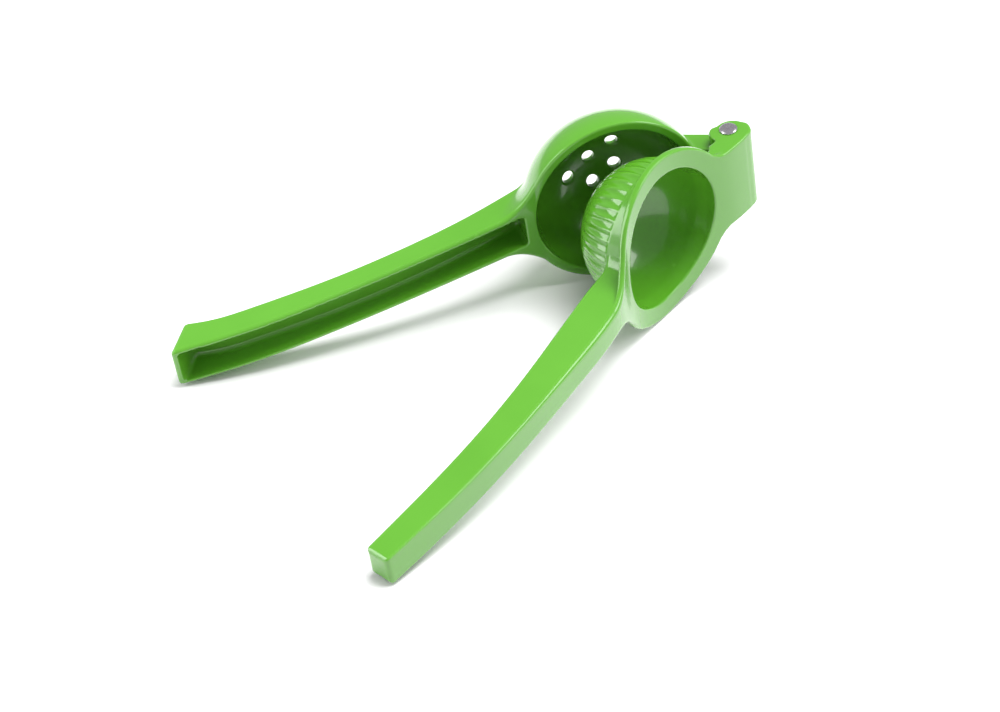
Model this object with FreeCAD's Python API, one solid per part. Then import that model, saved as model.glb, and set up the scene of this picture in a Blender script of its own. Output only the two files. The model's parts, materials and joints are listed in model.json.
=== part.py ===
"""Handheld citrus squeezer: two cast jaws joined by a riveted hinge pin, lying open on its side.

Each jaw is modelled closed, in the squeezer's own frame: the hinge axis is Z, +X runs from the
hinge to the cups and handles, and +Y is the way the strainer cup opens. Both jaws are symmetric
about the plane z = 0. The press jaw is then opened about the hinge, and the whole squeezer is
turned and tilted as it lies on a table, on its two rims and two handle ends.
"""
import math
import os

from FreeCAD import Vector
import Part

# --- driving dimensions, millimetres and degrees -------------------------------------------
HINGE_TO_CUP = 46.1      # hinge axis to the cups' common axis
RIM_R = 34.6             # outer radius of both rims
RIM_Y = -1.5             # plane of the strainer rim, below the hinge axis
CUP_R = 31.0             # inside radius of the strainer cup
CUP_DEPTH = 29.5         # inside depth of the strainer cup
CUP_WALL = 2.5           # strainer cup's wall at its bottom
RIM_BAND = 1.5           # straight outer band under the strainer rim
HOLE_R = 2.35            # drain holes: one in the middle, and a ring of six
HOLE_RING_R = 10.9
HOLES_IN_RING = 6

DOME_R = 28.0            # outside radius of the press dome
DOME_Y = -2.4            # height of the dome's widest section
DOME_DEPTH = 25.7        # from that section to the dome's tip
HOLLOW_R = 26.2          # inside radius of the press cup, at the dome's widest section
HOLLOW_DEPTH = 23.2      # from that section to its bottom
MOUTH_FLARE = 0.16       # how much wider it gets for each mm above that section,
MOUTH_R = 27.0           # up to this radius, which keeps a 1 mm wall
FLANGE_T = 2.6           # thickness of the press jaw's flange

HANDLE_HALF_W = 8.2      # strainer handle, half its width
ROOT_HALF_W = 8.7        # the same at the root
HANDLE_WALL = 1.5        # side walls of the strainer handle's channel
CHANNEL_FLOOR = 2.2
CHANNEL_START = 81.6     # the channel's end by the cup
STRAINER_ROUND = 15.0    # plan rounding from the strainer handle to its rim
PRESS_HALF_W = 5.85      # press handle, half its width
PRESS_ROUND = 12.0       # plan rounding from the press handle to its flange
PRESS_EDGE_ROOT = 2.3    # rounding of the press handle's front edges, at the root
PRESS_EDGE_END = 0.5     # and at the free end

PIN_R = 2.5
PIN_CLEARANCE = 0.05     # radial, in the strainer jaw's tongue
PIN_HEAD_R = 3.4
PIN_HEAD_H = 1.2
PIN_DIMPLE_R = 1.1       # dimple that the riveting tool leaves in the head
PIN_DIMPLE_H = 0.35
EAR_HALF_H = 17.0        # outer faces of the press jaw's two ears
TONGUE_HALF_H = 12.0     # half the height of the strainer jaw's tongue
TONGUE_R = 5.5           # round end of the tongue
HINGE_GAP = 0.35         # between the tongue and each ear
POCKET_GAP = 0.7         # between the tongue's round end and the press jaw's web
BLOCK_ROUND = 5.0        # plan rounding from the hinge block to the flange

CHANNEL_ROUND = 1.8      # inside corners of the channel
PRESS_ROOT_ROUND = 5.5   # plan rounding from the press handle's deep root to the dome

SEAM_TURN = 60.0         # keeps a turned face's seam clear of holes and necks

OPEN_ANGLE = 32.2        # how far the press jaw stands open
LIE_TURN = -22.7         # about the hinge axis, so that the handles point along +X
LIE_TILT = 9.1           # about Y, so that rims and handle ends meet the table

# Side outlines, as x and y from the hinge, in the closed frame.
STRAINER_LIP = [(76, RIM_Y), (92, 1.3), (120, 5.7), (165, 11.4), (195, 13.4), (221.3, 12.4)]
STRAINER_BACK = [(212.3, -1.6), (203, 0.7), (188, 1.3), (157, -0.2), (125, -4.4), (99, -10.1), (82, -15.4),
                 (62, -22)]
PRESS_FRONT = [(228.4, 24.6), (193, 25.2), (157, 23.7), (121, 20.3), (97, 17.2), (85.3, 13.9), (74, 8.3),
               (60, 4.65), (42.9, 3.07), (30, 3.97), (20, 5.9), (11, 7.6), (0, 8.1)]
PRESS_REAR = [(70, -3.4), (76, -1.4), (85, -0.2), (97, 1.6), (121, 5.9), (145, 9.7), (169, 12.3), (193, 13.7),
              (227.5, 14.5)]
TONGUE_SIDE = [(2.2, 5.0), (14.5, RIM_Y), (20, RIM_Y), (20, -15.2), (13.4, -11.6), (2, -5.4)]
EAR_END = [(-2.6, 8.1), (-5.6, 6), (-7.1, 0.5), (-1.3, -6.2), (5.2, -5.3)]   # two arcs, three points each
EAR_REAR = [(6.5, -4), (7.2, -2.6), (7.4, -0.7), (9, -0.6), (11.5, -0.8), (13, 0.4), (20, 2.8), (30, 2.8),
            (30, 8.1)]
POCKET_SIDE = [(2.5, 5.6), (15.5, -1.2), (15.5, -30), (-12, -30), (-12, 0), (0, 0)]
TALL = 60.0              # past every solid, for prisms that are cut to shape


# --- small helpers -------------------------------------------------------------------------
def points(outline):
    return [Vector(x, y, 0) for x, y in outline]


def spline(outline, start=None, end=None):
    """A smooth edge through the outline's points, with its end directions where they're given."""
    curve = Part.BSplineCurve()
    if start and end:
        curve.interpolate(Points=points(outline), InitialTangent=Vector(*start), FinalTangent=Vector(*end))
    else:
        curve.interpolate(Points=points(outline))
    return curve.toShape()


def line(a, b):
    return Part.makeLine(a, b)


def arc(a, via, b):
    return Part.Arc(a, via, b).toShape()


def side_prism(edges, half_height):
    """A solid whose outline in the xy plane is the edges, from -half_height to +half_height."""
    face = Part.Face(Part.Wire(Part.__sortEdges__(edges)))
    face.translate(Vector(0, 0, -half_height))
    return face.extrude(Vector(0, 0, 2 * half_height))


def plan_prism(edges, y_low, y_high):
    """A solid whose outline in the xz plane is the edges, from y_low to y_high."""
    face = Part.Face(Part.Wire(Part.__sortEdges__(edges)))
    face.translate(Vector(0, y_low, 0))
    return face.extrude(Vector(0, y_high - y_low, 0))


def round_solid(edges):
    """The solid that a half outline, in the xy plane beside x = 0, makes about the cup's axis."""
    face = Part.Face(Part.Wire(Part.__sortEdges__(edges)))
    solid = face.revolve(Vector(0, 0, 0), Vector(0, 1, 0), 360)
    solid.rotate(Vector(0, 0, 0), Vector(0, 1, 0), SEAM_TURN)
    solid.translate(Vector(HINGE_TO_CUP, 0, 0))
    return solid


def half_ellipsoid(radius, depth, y_top, y_edge):
    """A bowl shape, widest at y_top, going down by depth, with a straight band up to y_edge.

    Two tangent arcs stand for the quarter ellipse: a tighter one by the rim, a wider one below.
    """
    r_rim = depth - 0.6 * (radius - depth)
    r_low = (radius ** 2 + depth ** 2 - 2 * radius * r_rim) / (2 * (depth - r_rim))
    rim_centre = Vector(radius - r_rim, y_top, 0)
    low_centre = Vector(0, y_top - depth + r_low, 0)
    meet_way = (rim_centre - low_centre).normalize()
    meet = low_centre + meet_way * r_low
    wide = Vector(radius, y_top, 0)
    bottom = Vector(0, y_top - depth, 0)
    via_rim = rim_centre + (Vector(1, 0, 0) + meet_way).normalize() * r_rim
    via_low = low_centre + (Vector(0, -1, 0) + meet_way).normalize() * r_low
    edge = Vector(radius, y_edge, 0)
    centre = Vector(0, y_edge, 0)
    return round_solid([arc(wide, via_rim, meet), arc(meet, via_low, bottom),
                        line(wide, edge), line(edge, centre), line(centre, bottom)])


def neck_edges(rim_r, half_w, radius, reach, end_half_w, side, y):
    """The plan outline, at height y, of a neck that leaves a round rim with an arc on each side.

    The neck runs from the rim's circle to x = reach, on the +X side of the cup or on the -X side,
    and tapers from half_w to end_half_w.
    """
    centre_z = half_w + radius
    centre_x = math.sqrt((rim_r + radius) ** 2 - centre_z ** 2)
    share = rim_r / (rim_r + radius)
    turn = 0.5 * (math.atan2(centre_z, centre_x) + 0.5 * math.pi)

    def place(x, z):
        return Vector(HINGE_TO_CUP + side * x, y, z)

    on_rim = (centre_x * share, centre_z * share)
    middle = (centre_x - radius * math.cos(turn), centre_z - radius * math.sin(turn))
    on_neck = (centre_x, half_w)
    far = (side * (reach - HINGE_TO_CUP), end_half_w)
    edges = []
    for s in (1, -1):
        edges.append(arc(place(on_rim[0], s * on_rim[1]), place(middle[0], s * middle[1]),
                         place(on_neck[0], s * on_neck[1])))
        edges.append(line(place(on_neck[0], s * on_neck[1]), place(far[0], s * far[1])))
    edges.append(line(place(*far), place(far[0], -far[1])))
    edges.append(line(place(*on_rim), place(on_rim[0], -on_rim[1])))
    return edges


def neck_loft(sections, half_w, radius, reach, end_half_w, side):
    """A neck that follows a bowl's narrowing: each section is a height and the bowl's radius there."""
    wires = [Part.Wire(Part.__sortEdges__(neck_edges(r, half_w, radius, reach, end_half_w, side, y)))
             for y, r in sections]
    return Part.makeLoft(wires, True, False)


def ellipse_radius(radius, depth, y_top, y):
    """Radius of a half_ellipsoid at height y."""
    below = min(max((y_top - y) / depth, 0.0), 1.0)
    return radius * math.sqrt(1.0 - below ** 2)


def cylinder(radius, half_height):
    """A cylinder on the hinge axis."""
    return Part.makeCylinder(radius, 2 * half_height, Vector(0, 0, -half_height))


# --- strainer jaw ----------------------------------------------------------------------------
CUP_OUTER_DEPTH = CUP_DEPTH + CUP_WALL - RIM_BAND
CUP_OUTER_Y = RIM_Y - RIM_BAND


def strainer_side(raise_lip, raise_back):
    """The strainer handle's side outline, with its lip line and its back line raised."""
    top = spline([(60, RIM_Y + raise_lip)] + [(x, y + raise_lip) for x, y in STRAINER_LIP])
    low = spline([(x, y + raise_back) for x, y in STRAINER_BACK])
    ends = [edge.valueAt(t) for edge in (top, low) for t in (edge.FirstParameter, edge.LastParameter)]
    return [top, line(ends[1], ends[2]), low, line(ends[3], ends[0])]


def strainer_handle():
    outline = side_prism(strainer_side(0, 0), TALL)
    end_x = STRAINER_LIP[-1][0] + 1
    shape = (ROOT_HALF_W, STRAINER_ROUND, end_x, HANDLE_HALF_W, 1)
    low_sections = [(y, ellipse_radius(RIM_R, CUP_OUTER_DEPTH, CUP_OUTER_Y, y)) for y in (-8, -15, -22)]
    neck = neck_loft([(RIM_Y, RIM_R)] + low_sections, *shape)
    above_rim = plan_prism(neck_edges(RIM_R, *shape, 0), RIM_Y, TALL)
    return outline.common(neck.fuse(above_rim))


def strainer_channel():
    """The hollow in the strainer handle, open along its lip, with one end wall upright and one slanted."""
    floor = [(x, y + CHANNEL_FLOOR) for x, y in STRAINER_BACK]
    around = points([floor[-1], (floor[-1][0], TALL), (floor[0][0] + TALL, TALL), floor[0]])
    above_floor = side_prism([spline(floor)] + [line(around[i], around[i + 1]) for i in range(3)],
                             HANDLE_HALF_W - HANDLE_WALL)
    foot, lip = Vector(*STRAINER_BACK[0], 0), Vector(*STRAINER_LIP[-1], 0)
    slant = (lip - foot).normalize()
    wall_foot = foot + Vector(-slant.y, slant.x, 0) * CHANNEL_FLOOR
    corners = [Vector(CHANNEL_START, -TALL, 0), wall_foot - slant * 10, wall_foot + slant * TALL,
               Vector(CHANNEL_START, TALL, 0)]
    between_ends = side_prism([line(corners[i - 1], corners[i]) for i in range(4)], TALL)
    hollow = above_floor.common(between_ends)
    top = hollow.BoundBox.YMax - 1
    inner = [edge for edge in hollow.Edges if edge.BoundBox.YMin < top]
    return hollow.makeFillet(CHANNEL_ROUND, inner)


def tongue():
    """The flat lug that stands between the press jaw's ears, bored for the pin."""
    side = [Vector(x, y, 0) for x, y in TONGUE_SIDE]
    lug = side_prism([line(side[i - 1], side[i]) for i in range(len(side))], TONGUE_HALF_H)
    return lug.fuse(cylinder(TONGUE_R, TONGUE_HALF_H))


def drain_holes():
    places = [(0, 0)]
    for i in range(HOLES_IN_RING):
        turn = 2 * math.pi * (i + 0.5) / HOLES_IN_RING
        places.append((HOLE_RING_R * math.cos(turn), HOLE_RING_R * math.sin(turn)))
    start = RIM_Y - CUP_DEPTH / 2
    return [Part.makeCylinder(HOLE_R, TALL, Vector(HINGE_TO_CUP + x, start, z), Vector(0, -1, 0))
            for x, z in places]


def strainer_jaw():
    casting = half_ellipsoid(RIM_R, CUP_OUTER_DEPTH, CUP_OUTER_Y, RIM_Y)
    casting = casting.fuse([strainer_handle(), tongue()])
    inside = half_ellipsoid(CUP_R, CUP_DEPTH, RIM_Y, TALL)
    bore = cylinder(PIN_R + PIN_CLEARANCE, TALL)
    return casting.cut([inside, strainer_channel(), bore] + drain_holes()).removeSplitter()


# --- press jaw -------------------------------------------------------------------------------
def polygon_prism(outline, half_height):
    corners = points(outline)
    return side_prism([line(corners[i - 1], corners[i]) for i in range(len(corners))], half_height)


def under_front():
    """Everything behind the press jaw's front surface."""
    front = spline(PRESS_FRONT)
    end, start = PRESS_FRONT[0], PRESS_FRONT[-1]
    around = points([start, (-TALL, start[1]), (-TALL, -TALL), (end[0], -TALL), end])
    return side_prism([front] + [line(around[i], around[i + 1]) for i in range(4)], TALL)


def flange():
    """The thin curved rim that lies over the strainer's rim, with its necks to the block and the handle."""
    sheet_points = [(x, y - FLANGE_T) for x, y in PRESS_FRONT[4:]]
    rear = spline(sheet_points)
    first, last = sheet_points[0], sheet_points[-1]
    around = points([last, (last[0], TALL), (first[0], TALL), first])
    above = side_prism([rear] + [line(around[i], around[i + 1]) for i in range(3)], TALL)
    disc = Part.makeCylinder(RIM_R, 2 * TALL, Vector(HINGE_TO_CUP, -TALL, 0), Vector(0, 1, 0))
    to_handle = neck_edges(RIM_R, PRESS_HALF_W, PRESS_ROUND, first[0], PRESS_HALF_W, 1, 0)
    to_block = neck_edges(RIM_R, EAR_HALF_H, BLOCK_ROUND, last[0], EAR_HALF_H, -1, 0)
    return above.common(disc.fuse([plan_prism(neck, -TALL, TALL) for neck in (to_handle, to_block)]))


def press_handle(front_limit):
    """The solid handle, with its front edges rounded more at the root than at the end."""
    rear = spline(PRESS_REAR)
    first, last = PRESS_REAR[0], PRESS_REAR[-1]
    end_top = (PRESS_FRONT[0][0] + (PRESS_FRONT[0][0] - last[0]) * 2, PRESS_FRONT[0][1] + 20)
    around = points([last, end_top, (first[0], TALL), first])
    above = side_prism([rear] + [line(around[i], around[i + 1]) for i in range(3)], TALL)
    root = [(y, DOME_R) for y in (-4, 30)]
    neck = neck_loft(root, PRESS_HALF_W, PRESS_ROOT_ROUND, PRESS_FRONT[0][0] + 5, PRESS_HALF_W, 1)
    handle = above.common(front_limit).common(neck)
    for side in (-1, 1):
        front_edge = [e for e in handle.Edges if e.Length > 100 and e.BoundBox.ZLength < 1
                      and e.BoundBox.YMin > 5 and e.BoundBox.ZMin * side > 0]
        if len(front_edge) == 1:
            rounds = [PRESS_EDGE_ROOT, PRESS_EDGE_END]
            if front_edge[0].firstVertex().X > front_edge[0].lastVertex().X:
                rounds.reverse()
            handle = handle.makeFillet(*rounds, front_edge)
    return handle


def ears():
    """The hinge block: two ears joined by a web across their front."""
    end = points(EAR_END)
    rest = [end[-1]] + points(EAR_REAR) + [end[0]]
    edges = [arc(end[0], end[1], end[2]), arc(end[2], end[3], end[4])]
    edges += [line(rest[i], rest[i + 1]) for i in range(len(rest) - 1)]
    return side_prism(edges, EAR_HALF_H)


def pocket():
    """The space between the ears that the tongue turns in."""
    half_h = TONGUE_HALF_H + HINGE_GAP
    round_part = cylinder(TONGUE_R + POCKET_GAP, half_h)
    return round_part.fuse(polygon_prism(POCKET_SIDE, half_h))


def press_jaw():
    limit = under_front()
    dome = half_ellipsoid(DOME_R, DOME_DEPTH, DOME_Y, TALL).common(limit)
    casting = dome.fuse([flange(), press_handle(limit), ears().common(limit)])
    casting = casting.common(limit)
    inside = half_ellipsoid(HOLLOW_R, HOLLOW_DEPTH, DOME_Y, TALL)
    flare_h = (MOUTH_R - HOLLOW_R) / MOUTH_FLARE
    axis = Vector(0, 1, 0)
    flare = Part.makeCone(HOLLOW_R, MOUTH_R, flare_h, Vector(HINGE_TO_CUP, DOME_Y, 0), axis)
    mouth = Part.makeCylinder(MOUTH_R, TALL, Vector(HINGE_TO_CUP, DOME_Y + flare_h, 0), axis)
    return casting.cut([inside, flare, mouth, pocket(), cylinder(PIN_R, TALL)]).removeSplitter()


# --- hinge pin -------------------------------------------------------------------------------
def hinge_pin():
    """A rivet: a plain shaft with a low domed head formed at each end."""
    face = EAR_HALF_H
    top = face + PIN_HEAD_H
    shoulder = face + PIN_HEAD_H * 0.45

    def half(sign):
        dimple = arc(Vector(0, sign * (top - PIN_DIMPLE_H), 0),
                     Vector(PIN_DIMPLE_R * 0.6, sign * (top - PIN_DIMPLE_H * 0.6), 0),
                     Vector(PIN_DIMPLE_R, sign * top, 0))
        crown = arc(Vector(PIN_DIMPLE_R, sign * top, 0),
                    Vector(PIN_HEAD_R * 0.8, sign * (top - (top - shoulder) * 0.45), 0),
                    Vector(PIN_HEAD_R, sign * shoulder, 0))
        side = line(Vector(PIN_HEAD_R, sign * shoulder, 0), Vector(PIN_HEAD_R, sign * face, 0))
        seat = line(Vector(PIN_HEAD_R, sign * face, 0), Vector(PIN_R, sign * face, 0))
        return [dimple, crown, side, seat]

    shaft = line(Vector(PIN_R, -face, 0), Vector(PIN_R, face, 0))
    middle = line(Vector(0, -(top - PIN_DIMPLE_H), 0), Vector(0, top - PIN_DIMPLE_H, 0))
    outline = Part.Face(Part.Wire(Part.__sortEdges__(half(1) + half(-1) + [shaft, middle])))
    pin = outline.revolve(Vector(0, 0, 0), Vector(0, 1, 0), 360)
    pin.rotate(Vector(0, 0, 0), Vector(1, 0, 0), 90)
    return pin


# --- assembly ----------------------------------------------------------------------------------
def as_it_lies(shape, opened):
    """The shape turned from the closed frame to where it lies, before it is set on the table."""
    placed = shape.copy()
    if opened:
        placed.rotate(Vector(0, 0, 0), Vector(0, 0, 1), OPEN_ANGLE)
    placed.rotate(Vector(0, 0, 0), Vector(0, 0, 1), LIE_TURN)
    placed.rotate(Vector(0, 0, 0), Vector(0, 1, 0), LIE_TILT)
    return placed


nodes = {
    "strainer_jaw": as_it_lies(strainer_jaw(), False),
    "press_jaw": as_it_lies(press_jaw(), True),
    "hinge_pin": as_it_lies(hinge_pin(), True),
}
box = Part.makeCompound(list(nodes.values())).optimalBoundingBox(True, False)
to_origin = Vector(-box.Center.x, -box.Center.y, -box.ZMin)
os.makedirs("parts", exist_ok=True)
for name, solid in nodes.items():
    solid.translate(to_origin)
    solid.exportStep("parts/" + name + ".step")
    print(name, len(solid.Solids), round(solid.Volume), solid.isValid())
print("hinge at", to_origin, "box", box.XLength, box.YLength, box.ZLength)
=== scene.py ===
import json
import math

import bpy
import numpy as np
from mathutils import Matrix, Vector


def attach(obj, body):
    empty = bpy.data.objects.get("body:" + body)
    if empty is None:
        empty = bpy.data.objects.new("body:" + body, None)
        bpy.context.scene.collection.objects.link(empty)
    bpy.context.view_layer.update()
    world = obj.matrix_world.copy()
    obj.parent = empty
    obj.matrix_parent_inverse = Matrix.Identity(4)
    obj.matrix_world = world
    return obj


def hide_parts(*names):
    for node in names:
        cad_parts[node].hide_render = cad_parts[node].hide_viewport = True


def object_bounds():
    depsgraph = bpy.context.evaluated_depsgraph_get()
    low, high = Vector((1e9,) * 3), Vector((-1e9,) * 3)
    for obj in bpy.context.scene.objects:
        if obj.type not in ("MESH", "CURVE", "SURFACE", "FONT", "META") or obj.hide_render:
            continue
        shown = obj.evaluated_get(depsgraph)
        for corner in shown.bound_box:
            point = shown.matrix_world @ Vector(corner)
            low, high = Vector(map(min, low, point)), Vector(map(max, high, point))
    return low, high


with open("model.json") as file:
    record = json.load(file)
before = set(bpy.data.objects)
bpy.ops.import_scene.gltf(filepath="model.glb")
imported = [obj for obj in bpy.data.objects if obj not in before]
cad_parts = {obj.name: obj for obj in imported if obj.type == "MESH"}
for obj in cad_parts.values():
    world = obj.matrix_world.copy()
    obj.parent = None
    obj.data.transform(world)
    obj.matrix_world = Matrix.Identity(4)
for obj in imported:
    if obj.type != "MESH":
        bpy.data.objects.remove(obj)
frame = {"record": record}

cad_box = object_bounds()
GRID = 0.5   # mm between the points of the grid that each casting is shaped on

# The castings are shaped in the closed frame, in mm: z up the hinge pin, x from the hinge towards the cup,
# y out of the strainer cup's mouth. The outlines and main sizes are those of the part's own source.
CUP_X = 46.1                   # the axis that the cup and the dome share
RIM_Y = -1.5
RIM_R = 34.6
RIM_BAND = 1.5                 # straight outer band under the strainer rim
CUP_R = 31.0
CUP_DEPTH = 29.5
CUP_WALL = 2.5                 # at the cup's bottom
HOLE_R = 2.35
HOLE_RING_R = 10.9
HOLES_IN_RING = 6
HOLES_BELOW = -12.0            # the holes cut only the cup's bottom, under this height

DOME_R = 28.0
DOME_Y = -2.4                  # height of the dome's widest section
DOME_DEPTH = 25.7
HOLLOW_R = 26.2
HOLLOW_DEPTH = 23.2
MOUTH_FLARE = 0.16             # how much the hollow widens for each mm above that section,
MOUTH_R = 27.0                 # up to this radius
FLANGE_T = 2.6
FLANGE_START, FLANGE_END = 9, 92
FLANGE_EDGE = 0.8              # rounding of the flange's front edge
FLUTES = 44
FLUTE_DEPTH = 0.65
FLUTE_END = 46                 # degrees below the widest section where the flutes run out
FLUTE_GAP = 0.5                # plain band between that section and the flutes

ROOT_HALF_W = 8.7              # strainer handle, half its width at the root
HANDLE_TAPER = 0.5             # how much of that it loses towards its end
HANDLE_START = 55
CHANNEL_HALF_W = 6.7
CHANNEL_FLOOR = 2.2
CHANNEL_START = 81.6
CHANNEL_END_WALL = 2.2
CHANNEL_DRAFT = 0.045          # how much each side closes in for each mm of depth,
DRAFT_DEPTH = 8                # over this depth above the floor
PRESS_HALF_W = 5.85            # press handle, half its width
PRESS_HANDLE_START = 66
PRESS_EDGE_ROOT = 2.3          # rounding of the press handle's front edges, at the root
PRESS_EDGE_END = 0.5           # and at the free end

EAR_H = 17.0                   # the ears' outer faces
BLOCK_END = 26                 # the hinge block ends inside the flange and dome
TONGUE_HALF_H = 12.0
TONGUE_R = 5.5
TONGUE_START, TONGUE_END = 2, 22
BORE_R = 2.6
HINGE_GAP = 0.35               # between the tongue and each ear
POCKET_GAP = 0.7               # between the tongue's round end and the web behind it
PIN_HEAD_H = 1.2
PIN_SHOULDER_H = 0.5
FAR = 99.0                     # a distance for places that a shape doesn't reach

# Side outlines, as x and y from the hinge.
HANDLE_LIP = [(76, RIM_Y), (92, 1.3), (120, 5.7), (165, 11.4), (195, 13.4), (221.3, 12.4)]
HANDLE_BACK = [(62, -22), (82, -15.4), (99, -10.1), (125, -4.4), (157, -0.2), (188, 1.3), (203, 0.7),
               (212.3, -1.6)]
PRESS_FRONT = [(0, 8.1), (11, 7.6), (20, 5.9), (30, 3.97), (42.9, 3.07), (60, 4.65), (74, 8.3), (85.3, 13.9),
               (97, 17.2), (121, 20.3), (157, 23.7), (193, 25.2), (228.4, 24.6)]
PRESS_REAR = [(70, -3.4), (76, -1.4), (85, -0.2), (97, 1.6), (121, 5.9), (145, 9.7), (169, 12.3),
              (193, 13.7), (227.5, 14.5)]
EAR_TOP = [(-2.6, 8.1), (-5.6, 6), (-7.1, 0.5)]
EAR_LOW = [(-7.1, 0.5), (-1.3, -6.2), (5.2, -5.3)]
EAR_REAR = [(5.2, -5.3), (6.5, -4), (7.2, -2.6), (7.4, -0.7), (9, -0.6), (11.5, -0.8), (13, 0.4), (20, 2.8)]
TONGUE_TOP = [(14.5, RIM_Y), (2.2, 5.0)]
TONGUE_LOW = [(20.0, -15.2), (13.4, -11.6), (2.0, -5.4)]
POCKET_EDGE = [(15.5, -1.2), (2.5, 5.6)]
POCKET_LEAN = 0.446            # the pocket's side by the web: x for each mm of y
STRAINER_BOX = (-5.5, -33.5), (221.3, 13.5)
PRESS_BOX = (-7.7, -28.1), (228.4, 25.2)

# How it lies, in degrees. The tilt is the hinge's own, from the frame.
OPEN_ANGLE = 32.2
LIE_TURN = -22.7


# --- distance helpers: negative inside, in mm ---
def smooth_curve(points, x):
    """A natural cubic spline through the points at x, and its slope; straight beyond its ends."""
    px, py = np.array(points, float).T
    n, h = len(px), np.diff(px)
    a = np.eye(n)
    b = np.zeros(n)
    for i in range(1, n - 1):
        a[i, i - 1:i + 2] = h[i - 1], 2 * (h[i - 1] + h[i]), h[i]
        b[i] = 6 * ((py[i + 1] - py[i]) / h[i] - (py[i] - py[i - 1]) / h[i - 1])
    m = np.linalg.solve(a, b)
    xc = np.clip(x, px[0], px[-1])
    i = np.clip(np.searchsorted(px, xc) - 1, 0, n - 2)
    hi, u, v = h[i], px[i + 1] - xc, xc - px[i]
    rise = py[i + 1] / hi - m[i + 1] * hi / 6
    fall = py[i] / hi - m[i] * hi / 6
    y = (m[i] * u ** 3 + m[i + 1] * v ** 3) / (6 * hi) + rise * v + fall * u
    slope = (m[i + 1] * v ** 2 - m[i] * u ** 2) / (2 * hi) + rise - fall
    return y + slope * (x - xc), slope


def above(points, x, y, lift=0.0):
    """Distance above a smooth outline, raised by lift."""
    cy, slope = smooth_curve(points, x)
    return (y - cy - lift) / np.sqrt(1 + slope ** 2)


def cut(a, b, r):
    """The part inside both, with the edge between them rounded to radius r."""
    return np.hypot(np.maximum(a + r, 0), np.maximum(b + r, 0)) - r + np.minimum(np.maximum(a, b) + r, 0)


def join(a, b, r):
    """Both parts, with a fillet of radius r between them."""
    return -cut(-a, -b, r)


def bowl(q, y, radius, depth, y_top):
    """An ellipsoid below y_top, and a tube of its radius above; q is the distance from its axis."""
    low = np.minimum(y - y_top, 0)
    k0 = np.hypot(q / radius, low / depth)
    k1 = np.hypot(q / radius ** 2, low / depth ** 2)
    return k0 * (k0 - 1) / np.maximum(k1, 1e-6)


def beside(x, y, a, b):
    """Distance to the left of the line from a to b."""
    length = math.hypot(b[0] - a[0], b[1] - a[1])
    return ((b[0] - a[0]) * (y - a[1]) - (b[1] - a[1]) * (x - a[0])) / length


def circle_through(a, b, c):
    """The centre and radius of the circle through three points."""
    m = np.array([[2 * (b[0] - a[0]), 2 * (b[1] - a[1])], [2 * (c[0] - a[0]), 2 * (c[1] - a[1])]])
    start = a[0] ** 2 + a[1] ** 2
    k = np.array([b[0] ** 2 + b[1] ** 2 - start, c[0] ** 2 + c[1] ** 2 - start])
    x, y = np.linalg.solve(m, k)
    return x, y, math.hypot(a[0] - x, a[1] - y)


def step(t):
    """A smooth step from 0 at t = 0 to 1 at t = 1."""
    t = np.clip(t, 0, 1)
    return t * t * (3 - 2 * t)


# --- strainer jaw; z is folded at the plane of symmetry ---
def strainer_handle(x, y, z, outer):
    """The handle, before its channel is cut, with a neck that runs into the outside of the cup."""
    width = ROOT_HALF_W - HANDLE_TAPER * np.clip((x - 80) / 140, 0, 1)
    strip = np.where(x > CUP_X, z - width, FAR)
    plan = join(strip, outer, np.clip(12 + 0.7 * (y - RIM_Y), 3, 12))
    sides = cut(above(HANDLE_LIP, x, y), -above(HANDLE_BACK, x, y), 0.5)
    end = beside(x, y, HANDLE_LIP[-1], HANDLE_BACK[-1])
    handle = cut(cut(plan, sides, 1.7), end, 2.0)
    return np.where(x > HANDLE_START, handle, FAR)


def channel(x, y, z):
    """The hollow along the handle's lip, with drafted sides and closed ends."""
    floor = -above(HANDLE_BACK, x, y, CHANNEL_FLOOR)
    draft = CHANNEL_DRAFT * np.clip(DRAFT_DEPTH + floor, 0, DRAFT_DEPTH)
    trough = cut(z - CHANNEL_HALF_W + draft, floor, 1.8)
    end = beside(x, y, HANDLE_LIP[-1], HANDLE_BACK[-1])
    return cut(cut(trough, CHANNEL_START - x, 1.6), end + CHANNEL_END_WALL, 1.6)


def tongue(x, y, z):
    """The lug between the ears, round about the pin, and widening towards the cup."""
    top = np.minimum(-beside(x, y, *TONGUE_TOP), y - RIM_Y)
    low = np.maximum(beside(x, y, *TONGUE_LOW[1:]), beside(x, y, *TONGUE_LOW[:2]))
    lug = np.maximum(np.maximum(top, low), np.maximum(TONGUE_START - x, x - TONGUE_END))
    lug = np.minimum(lug, np.hypot(x, y) - TONGUE_R)
    return cut(lug, z - TONGUE_HALF_H, 0.7)


def strainer_jaw(x, y, z):
    z = np.abs(z)
    q = np.hypot(x - CUP_X, z)
    outer = bowl(q, y, RIM_R, CUP_DEPTH + CUP_WALL - RIM_BAND, RIM_Y - RIM_BAND)
    shell = cut(outer, y - RIM_Y, 1.0)
    body = join(np.minimum(shell, strainer_handle(x, y, z, outer)), tongue(x, y, z), 1.5)
    body = cut(body, -bowl(q, y, CUP_R, CUP_DEPTH, RIM_Y), 0.55)
    body = cut(body, -channel(x, y, z), 0.3)
    body = cut(body, BORE_R - np.hypot(x, y), 0.3)
    # Half of the ring is enough, as z is folded. The last hole is the middle one.
    turns = [math.pi * (2 * i + 1) / HOLES_IN_RING for i in range(HOLES_IN_RING // 2)]
    centres = [(HOLE_RING_R * math.cos(turn), HOLE_RING_R * math.sin(turn)) for turn in turns] + [(0, 0)]
    for along, up in centres:
        hole = np.hypot(x - CUP_X - along, z - up) - HOLE_R
        body = cut(body, -np.maximum(hole, y - HOLES_BELOW), 0.5)
    return body


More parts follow.
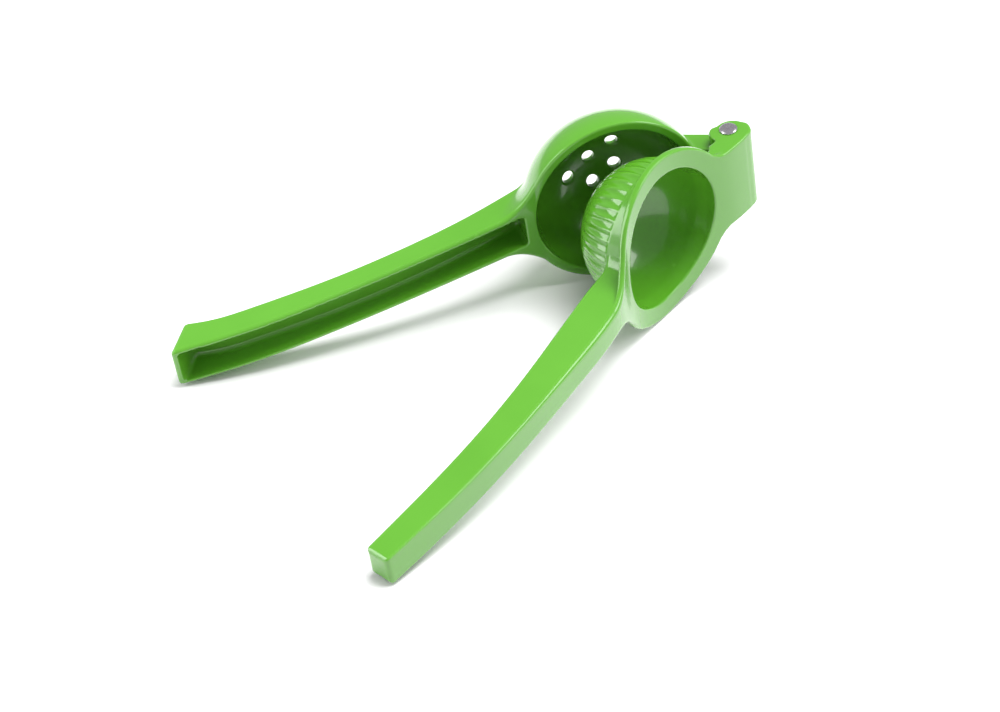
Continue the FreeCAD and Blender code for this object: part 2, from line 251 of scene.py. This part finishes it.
# --- press jaw; z is folded here too ---
def fluted_dome(x, y, z, q):
    """The dome's outside, with scooped flutes that narrow and fade towards its tip."""
    dome = bowl(q, y, DOME_R, DOME_DEPTH, DOME_Y)
    latitude = np.degrees(np.arcsin(np.clip((DOME_Y - y) / DOME_DEPTH, 0, 1)))
    fade = np.clip(1 - latitude / FLUTE_END, 0, 1)
    beat = np.arctan2(z, x - CUP_X) * FLUTES / (2 * math.pi)
    beat = np.abs(beat - np.round(beat)) / (0.5 * np.maximum(fade, 0.02) ** 0.55)
    scoop = FLUTE_DEPTH * fade ** 0.8 * np.clip(1 - beat ** 2, 0, 1)
    return dome + scoop * step((DOME_Y - FLUTE_GAP - y) / 0.7)


def hinge_block(x, y, z, front):
    """The block with both ears, before its pocket is cut."""
    top_x, top_y, top_r = circle_through(*EAR_TOP)
    low_x, low_y, low_r = circle_through(*EAR_LOW)
    # Past its own arc each circle opens out, and leaves the edge to the other outlines.
    top = np.hypot(np.minimum(x - top_x, 0), y - top_y) - top_r - 0.3 * np.maximum(x - top_x, 0) ** 2
    low = np.hypot(x - low_x, y - low_y) - low_r - 0.4 * np.maximum(y - 1, 0) ** 2
    rear = 0.8 * (np.interp(x, *np.array(EAR_REAR, float).T) - y)
    block = np.where(x > EAR_REAR[0][0], np.maximum(rear, x - BLOCK_END), cut(top, low, 2.5))
    return cut(cut(block, front, 1.0), z - EAR_H, 0.8)


def pocket(x, y, z):
    """The room for the tongue: round its end, and down the side that it swings to."""
    round_end = np.hypot(x, y) - (TONGUE_R + POCKET_GAP)
    swing = np.maximum(-beside(x, y, *POCKET_EDGE), x - POCKET_EDGE[0][0])
    swing = np.maximum(swing, np.minimum(y, POCKET_LEAN * y - x))
    return np.maximum(np.minimum(round_end, swing), z - (TONGUE_HALF_H + HINGE_GAP))


def press_hollow(q, y):
    """The cup inside the dome. Its mouth widens evenly, and then levels off at MOUTH_R."""
    rise = y - DOME_Y
    flare = MOUTH_FLARE / 2 * (np.hypot(rise, 1.0) + rise)
    widest = MOUTH_R - HOLLOW_R
    flare = 0.5 * (flare + widest - np.hypot(flare - widest, 0.1))
    return bowl(np.maximum(q - flare, 0), y, HOLLOW_R, HOLLOW_DEPTH, DOME_Y)


def press_jaw(x, y, z):
    z = np.abs(z)
    q = np.hypot(x - CUP_X, z)
    front = above(PRESS_FRONT, x, y)
    dome = fluted_dome(x, y, z, q)
    grip = np.where(x > CUP_X, z - PRESS_HALF_W, FAR)

    plan = join(q - RIM_R, grip, 12)
    plan = join(plan, np.where(x < CUP_X, z - EAR_H, FAR), 4)
    grip_edge = PRESS_EDGE_END + (PRESS_EDGE_ROOT - PRESS_EDGE_END) * np.clip(1 - (x - 95) / 120, 0, 1)
    edge = FLANGE_EDGE + (grip_edge - FLANGE_EDGE) * step((x - PRESS_HANDLE_START) / 22)
    flange = cut(cut(front, plan, edge), -above(PRESS_FRONT, x, y, -FLANGE_T), 0.5)
    flange = np.where((x > FLANGE_START) & (x < FLANGE_END), flange, FAR)

    handle = cut(join(grip, dome, 4.5), -above(PRESS_REAR, x, y), 1.2)
    handle = cut(handle, front, grip_edge)
    handle = cut(handle, beside(x, y, PRESS_FRONT[-1], PRESS_REAR[-1]), 1.8)
    handle = np.where(x > PRESS_HANDLE_START, handle, FAR)

    body = np.minimum(np.minimum(flange, cut(dome, front, 0.8)),
                      np.minimum(hinge_block(x, y, z, front), handle))
    body = cut(body, -pocket(x, y, z), 0.4)
    return cut(body, -press_hollow(q, y), 0.5)


# --- from distances to a clean quad mesh ---
def crossed_cells(field):
    """A point in each grid cell that the surface crosses, in grid steps, and the points' numbers by cell."""
    inside = field < 0
    n = [size - 1 for size in field.shape]
    corners = [(i, j, k) for i in (0, 1) for j in (0, 1) for k in (0, 1)]
    count = np.zeros(n, np.int8)
    for i, j, k in corners:
        count += inside[i:i + n[0], j:j + n[1], k:k + n[2]]
    cells = np.argwhere((count > 0) & (count < 8))
    value = {c: field[tuple((cells + c).T)] for c in corners}
    total = np.zeros((len(cells), 3))
    crossings = np.zeros(len(cells))
    for a in corners:
        for axis in range(3):
            if a[axis]:
                continue
            b = tuple(v + (i == axis) for i, v in enumerate(a))
            fa, fb = value[a], value[b]
            crossed = (fa < 0) != (fb < 0)
            t = np.where(crossed, fa / np.where(crossed, fa - fb, 1), 0)
            spot = np.array(a, float) + t[:, None] * np.eye(3)[axis]
            total += spot * crossed[:, None]
            crossings += crossed
    number = np.full(n, -1)
    number[tuple(cells.T)] = np.arange(len(cells))
    return cells + total / crossings[:, None], number


def quads_between(inside, number):
    """A quad round each grid edge that the surface crosses, from the four cells beside that edge."""
    quads = []
    for axis in range(3):
        u, v = (axis + 1) % 3, (axis + 2) % 3
        du, dv = np.eye(3, dtype=int)[u], np.eye(3, dtype=int)[v]
        here = inside[:-1, :-1, :-1]
        there = np.roll(inside, -1, axis)[:-1, :-1, :-1]
        for found, flip in ((np.argwhere(here & ~there), False), (np.argwhere(~here & there), True)):
            found = found[(found[:, u] > 0) & (found[:, v] > 0)]
            ring = [found, found - du, found - du - dv, found - dv]
            quad = np.stack([number[tuple(c.T)] for c in ring], 1)
            quads.append(quad[:, ::-1] if flip else quad)
    quads = np.concatenate(quads)
    return quads[(quads >= 0).all(1)]


def settle(verts, quads, distance):
    """Evens out the points' spacing in three rounds, and brings them onto the surface after each.

    A last round only brings them onto the surface.
    """
    ends = np.concatenate([quads[:, [k, (k + 1) % 4]] for k in range(4)])
    ends = np.concatenate([ends, ends[:, ::-1]])
    near = np.maximum(np.bincount(ends[:, 0], minlength=len(verts)), 1)
    probe = 0.02
    ways = probe * np.eye(3)
    for turn in range(4):
        if turn < 3:
            total = [np.bincount(ends[:, 0], verts[ends[:, 1], d], len(verts)) for d in range(3)]
            verts += 0.4 * (np.stack(total, 1) / near[:, None] - verts)
        slope = np.stack([distance(*(verts + d).T) - distance(*(verts - d).T) for d in ways], 1)
        slope /= 2 * probe
        move = -distance(*verts.T)[:, None] * slope / np.maximum((slope ** 2).sum(1), 0.2)[:, None]
        size = np.linalg.norm(move, axis=1, keepdims=True)
        verts += move * np.minimum(1, 0.35 * GRID / np.maximum(size, 1e-9))


def casting_mesh(name, distance, box):
    """The surface where the distance is zero, as quads. The box holds the casting's side outline."""
    margin = 2 * GRID
    reach = RIM_R + margin
    low = [v - margin for v in box[0]] + [-reach]
    high = [v + margin for v in box[1]] + [reach]
    axes = [np.arange(a, b + GRID, GRID) for a, b in zip(low, high)]
    field = np.concatenate([distance(*np.meshgrid(part, axes[1], axes[2], indexing="ij")).astype(np.float32)
                            for part in np.array_split(axes[0], 12)])
    spots, number = crossed_cells(field)
    verts = spots * GRID + np.array(low)
    quads = quads_between(field < 0, number)
    settle(verts, quads, distance)

    mesh = bpy.data.meshes.new(name)
    mesh.vertices.add(len(verts))
    mesh.loops.add(quads.size)
    mesh.polygons.add(len(quads))
    mesh.vertices.foreach_set("co", np.ascontiguousarray(verts / 1000, np.float32).ravel())
    mesh.loops.foreach_set("vertex_index", quads.astype(np.int32).ravel())
    mesh.polygons.foreach_set("loop_start", np.arange(0, quads.size, 4, dtype=np.int32))
    mesh.update(calc_edges=True)
    mesh.validate()
    mesh.shade_smooth()
    return mesh


def pin_mesh():
    """The rivet, turned about its own axis: shaft, seat, domed head with a dimple, at both ends."""
    top, shoulder = EAR_H + PIN_HEAD_H, EAR_H + PIN_SHOULDER_H
    half = [(0, top - 0.35), (0.35, top - 0.33), (0.7, top - 0.24), (0.95, top - 0.1), (1.15, top - 0.01),
            (1.4, top), (1.9, top - 0.06), (2.5, top - 0.2), (3.0, top - 0.42), (3.28, shoulder),
            (3.4, shoulder - 0.12), (3.4, EAR_H + 0.02), (2.5, EAR_H), (2.49, EAR_H - 0.4), (2.48, 8),
            (2.48, 0)]
    outline = half + [(r, -h) for r, h in reversed(half[:-1])]
    around = 72
    verts = [(0, 0, outline[0][1])]
    for r, h in outline[1:-1]:
        verts += [(r * math.cos(2 * math.pi * i / around), r * math.sin(2 * math.pi * i / around), h)
                  for i in range(around)]
    verts.append((0, 0, outline[-1][1]))
    faces = []
    rings = len(outline) - 2
    last = 1 + (rings - 1) * around
    for i in range(around):
        j = (i + 1) % around
        faces.append((0, 1 + i, 1 + j))
        for k in range(rings - 1):
            a = 1 + k * around
            faces.append((a + i, a + around + i, a + around + j, a + j))
        faces.append((last + i, len(verts) - 1, last + j))
    mesh = bpy.data.meshes.new("hinge_pin_look")
    mesh.from_pydata([(x / 1000, y / 1000, z / 1000) for x, y, z in verts], [], faces)
    mesh.update()
    mesh.shade_smooth()
    return mesh


# --- materials ---
def nodes_of(material):
    material.use_nodes = True
    tree = material.node_tree
    shader = next(n for n in tree.nodes if n.type == "BSDF_PRINCIPLED")
    return tree, shader


def noise(tree, scale, detail, where):
    n = tree.nodes.new("ShaderNodeTexNoise")
    n.inputs["Scale"].default_value = scale
    n.inputs["Detail"].default_value = detail
    tree.links.new(where, n.inputs["Vector"])
    return n.outputs["Fac"]


def remap(tree, fac, low, high, to_low, to_high):
    n = tree.nodes.new("ShaderNodeMapRange")
    for key, v in zip(("From Min", "From Max", "To Min", "To Max"), (low, high, to_low, to_high)):
        n.inputs[key].default_value = v
    tree.links.new(fac, n.inputs["Value"])
    return n.outputs["Result"]


def shade_between(tree, fac, dark, light, start=0.0, end=1.0):
    """A ramp from the dark colour to the light one."""
    n = tree.nodes.new("ShaderNodeValToRGB")
    for element, position, colour in zip(n.color_ramp.elements, (start, end), (dark, light)):
        element.position = position
        element.color = (*colour, 1)
    tree.links.new(fac, n.inputs["Fac"])
    return n.outputs["Color"]


def roughen(tree, shader, height, strength, distance):
    """A bump on the shader's normal, distance in m."""
    bump = tree.nodes.new("ShaderNodeBump")
    bump.inputs["Strength"].default_value = strength
    bump.inputs["Distance"].default_value = distance
    tree.links.new(height, bump.inputs["Height"])
    tree.links.new(bump.outputs["Normal"], shader.inputs["Normal"])


def enamel_material():
    """Glossy sprayed enamel: slightly uneven colour and gloss, a painted highlight that lightens the convex
    edges, faint orange peel.
    """
    material = bpy.data.materials.new("green_enamel")
    tree, shader = nodes_of(material)
    where = tree.nodes.new("ShaderNodeTexCoord").outputs["Object"]
    blotches = noise(tree, 22, 3, where)
    colour = shade_between(tree, blotches, (0.077, 0.28, 0.015), (0.09, 0.31, 0.02), 0.3, 0.7)
    # Painted highlight: convex edges, found by Pointiness, are mixed towards a lighter green to stand in for
    # the gloss on the rounded edges.
    geometry = tree.nodes.new("ShaderNodeNewGeometry")
    edge = remap(tree, geometry.outputs["Pointiness"], 0.505, 0.56, 0, 0.35)
    painted_edge_highlight = tree.nodes.new("ShaderNodeMix")
    painted_edge_highlight.data_type = "RGBA"
    tree.links.new(edge, painted_edge_highlight.inputs["Factor"])
    # A colour mix takes its two colours at sockets 6 and 7, and gives its result at 2.
    tree.links.new(colour, painted_edge_highlight.inputs[6])
    painted_edge_highlight.inputs[7].default_value = (0.14, 0.4, 0.05, 1)
    tree.links.new(painted_edge_highlight.outputs[2], shader.inputs["Base Color"])
    tree.links.new(remap(tree, noise(tree, 60, 4, where), 0.3, 0.7, 0.16, 0.25), shader.inputs["Roughness"])
    shader.inputs["Coat Weight"].default_value = 0.6
    shader.inputs["Coat Roughness"].default_value = 0.06
    roughen(tree, shader, noise(tree, 420, 2, where), 0.06, 0.0004)
    return material


def steel_material():
    """Plain steel, dulled by forming, with a fine mottle."""
    material = bpy.data.materials.new("rivet_steel")
    tree, shader = nodes_of(material)
    where = tree.nodes.new("ShaderNodeTexCoord").outputs["Object"]
    colour = shade_between(tree, noise(tree, 900, 5, where), (0.5, 0.47, 0.53), (0.8, 0.76, 0.83))
    tree.links.new(colour, shader.inputs["Base Color"])
    shader.inputs["Metallic"].default_value = 1.0
    tree.links.new(remap(tree, noise(tree, 1500, 4, where), 0.3, 0.7, 0.2, 0.42), shader.inputs["Roughness"])
    roughen(tree, shader, noise(tree, 1200, 3, where), 0.25, 0.0002)
    return material


# --- where the closed frame's parts lie at rest ---
joint = frame["record"]["behaviour"]["joints"][0]
hinge = Vector(joint["pos_m"])
pin_way = Vector(joint["axis"]).normalized()
tilt = Matrix.Rotation(math.atan2(pin_way.x, pin_way.z), 4, "Y")
strainer_place = Matrix.Translation(hinge) @ tilt @ Matrix.Rotation(math.radians(LIE_TURN), 4, "Z")
press_place = strainer_place @ Matrix.Rotation(math.radians(OPEN_ANGLE), 4, "Z")


def piece(name, mesh, place, body, node, material):
    obj = bpy.data.objects.new(name, mesh)
    bpy.context.scene.collection.objects.link(obj)
    mesh.transform(place)
    mesh.materials.append(material)
    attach(obj, body)
    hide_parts(node)


enamel, steel = enamel_material(), steel_material()
strainer = casting_mesh("strainer_jaw_look", strainer_jaw, STRAINER_BOX)
press = casting_mesh("press_jaw_look", press_jaw, PRESS_BOX)
piece("strainer_jaw_look", strainer, strainer_place, "strainer_jaw", "strainer_jaw", enamel)
piece("press_jaw_look", press, press_place, "press_jaw", "press_jaw", enamel)
piece("hinge_pin_look", pin_mesh(), press_place, "press_jaw", "hinge_pin", steel)

# --- floor ---
floor_mesh = bpy.data.meshes.new("floor")
floor_mesh.from_pydata([(-6, -6, 0), (6, -6, 0), (6, 6, 0), (-6, 6, 0)], [], [(0, 1, 2, 3)])
floor = bpy.data.objects.new("floor", floor_mesh)
bpy.context.scene.collection.objects.link(floor)
floor.location.z = cad_box[0][2] if cad_box else 0
floor_material = bpy.data.materials.new("floor")
floor_shader = nodes_of(floor_material)[1]
floor_shader.inputs["Base Color"].default_value = (0.84, 0.82, 0.85, 1)
floor_shader.inputs["Roughness"].default_value = 0.6
floor_mesh.materials.append(floor_material)

# --- light ---
bpy.context.scene.view_settings.view_transform = "Standard"
world = bpy.data.worlds.new("studio")
bpy.context.scene.world = world
world.use_nodes = True
world.node_tree.nodes["Background"].inputs["Color"].default_value = (1, 1, 1, 1)
world.node_tree.nodes["Background"].inputs["Strength"].default_value = 0.42
cup = strainer_place @ Vector((CUP_X / 1000, 0, 0))
casting_turn = strainer_place.to_3x3()


def aim(obj, way):
    obj.rotation_euler = way.to_track_quat("-Z", "Y").to_euler()


def softbox(name, way, distance, size, radiance):
    """A lamp that stands off from the cup along a way given in the strainer jaw's frame, sizes in m."""
    light = bpy.data.lights.new(name, "AREA")
    light.shape = "RECTANGLE"
    light.size, light.size_y = size
    light.energy = radiance * math.pi * size[0] * size[1]
    obj = bpy.data.objects.new(name, light)
    bpy.context.scene.collection.objects.link(obj)
    out = (casting_turn @ Vector(way)).normalized()
    obj.location = cup + out * distance
    aim(obj, -out)


softbox("left_softbox", (0.85, -0.17, 0.5), 0.8, (0.32, 0.72), 5)
softbox("right_softbox", (-0.8, 0.29, 0.53), 0.9, (0.5, 0.4), 5)
# The overhead light is wide, for soft shadows, and doesn't show in the gloss.
sky = bpy.data.lights.new("overhead", "SUN")
sky.energy = 4.4
sky.angle = math.radians(40)
sky_lamp = bpy.data.objects.new("overhead", sky)
bpy.context.scene.collection.objects.link(sky_lamp)
sky_lamp.visible_glossy = False
aim(sky_lamp, casting_turn @ Vector((0.45, 0.1, -1)))

# --- camera ---
camera_data = bpy.data.cameras.new("camera")
camera_data.sensor_width = 36.0
camera_data.lens = 104.4
camera_data.clip_start = 0.05
camera = bpy.data.objects.new("camera", camera_data)
bpy.context.scene.collection.objects.link(camera)
bpy.context.scene.camera = camera
# Right, up and back of the camera, and its place, in the strainer jaw's closed frame, in m.
camera_place = Vector((0.27337, 0.80108, 0.68279))
right = Vector((-0.9372, 0.3234, -0.1308)).normalized()
back = Vector((0.1573, 0.7265, 0.6689)).normalized()
up = back.cross(right)
right = up.cross(back)
turn = Matrix((right, up, back)).transposed().to_4x4()
camera.matrix_world = strainer_place @ Matrix.Translation(camera_place) @ turn
